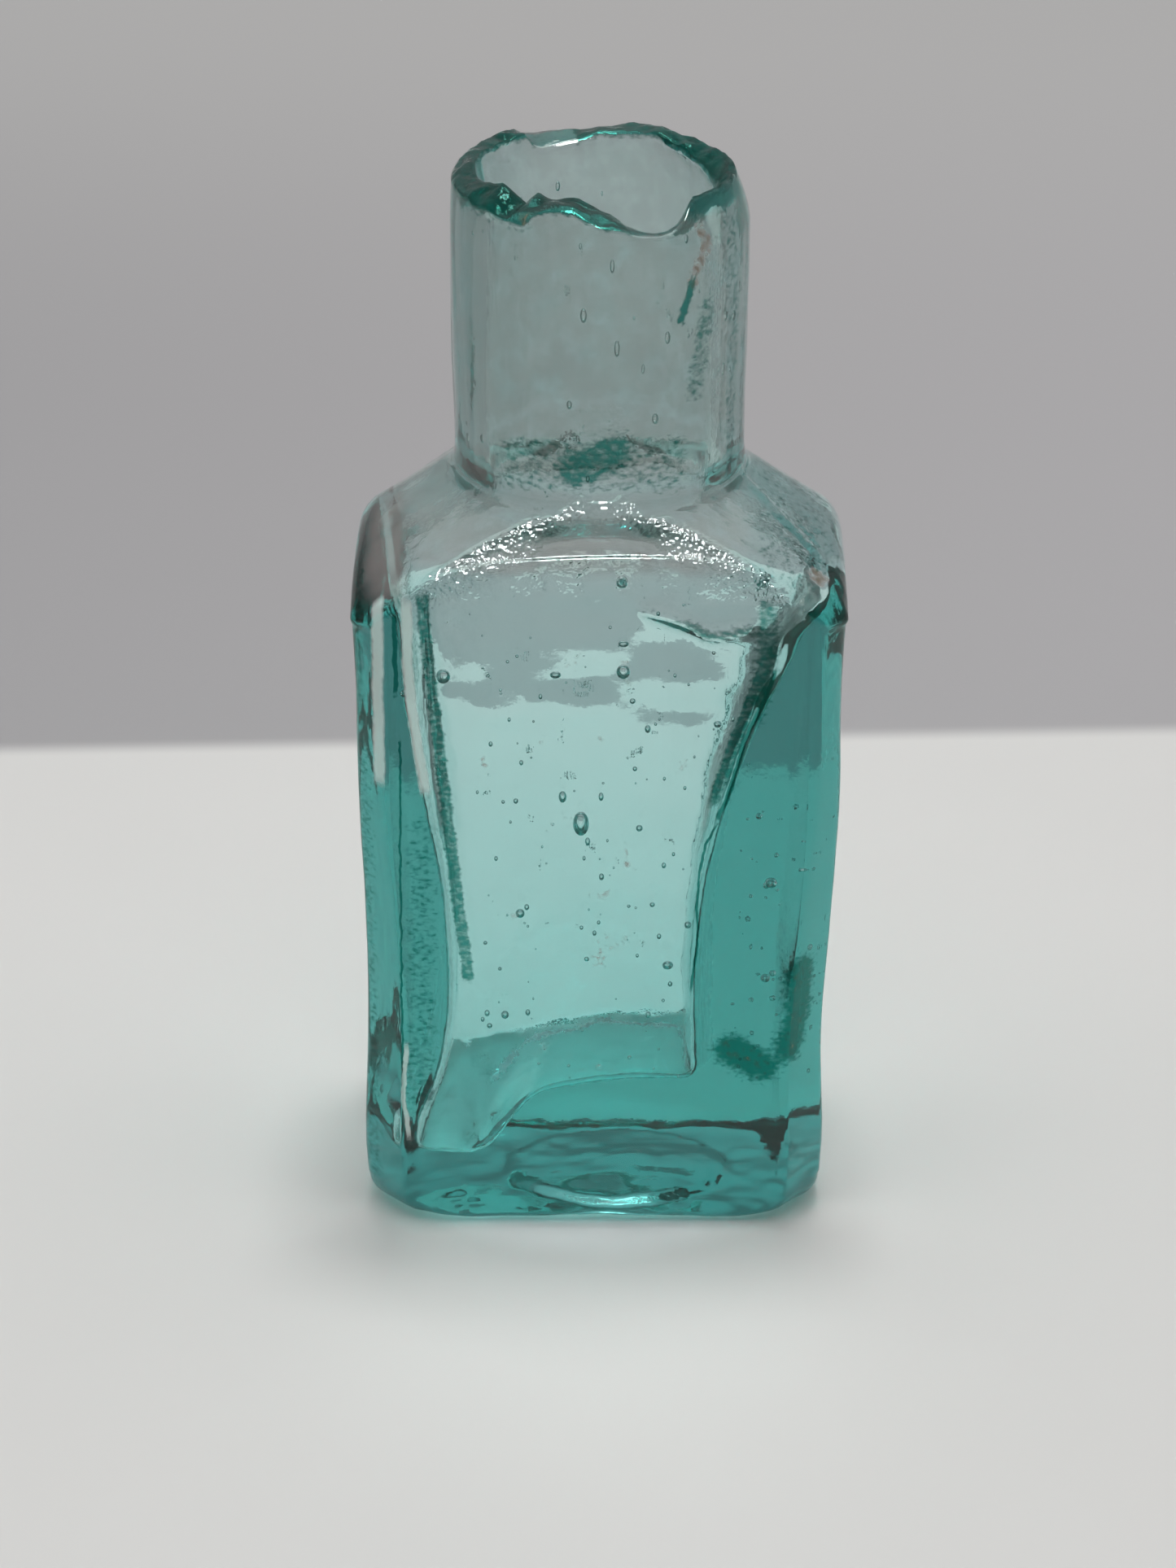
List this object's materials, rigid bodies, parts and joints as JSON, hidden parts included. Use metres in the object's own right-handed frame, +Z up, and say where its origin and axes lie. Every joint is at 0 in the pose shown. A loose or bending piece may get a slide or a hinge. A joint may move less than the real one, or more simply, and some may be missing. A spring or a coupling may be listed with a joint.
{
  "type": "glass bottle",
  "caption": "Small antique mould-blown ink bottle: rectangular with cut corners, hipped shoulders, a wide straight neck and a snapped, unfinished lip.",
  "frame": {"origin": "centre of the base, on the plane it rests on", "axes": "+Z up along the neck's bore, +X to the thick-walled side, -Y the broad front face"},
  "size_m": [0.0292, 0.02, 0.0665],
  "materials": {
    "aqua_glass": "gloss"
  },
  "bodies": {
    "root": {"glass_bottle": "aqua_glass"}
  },
  "joints": []
}
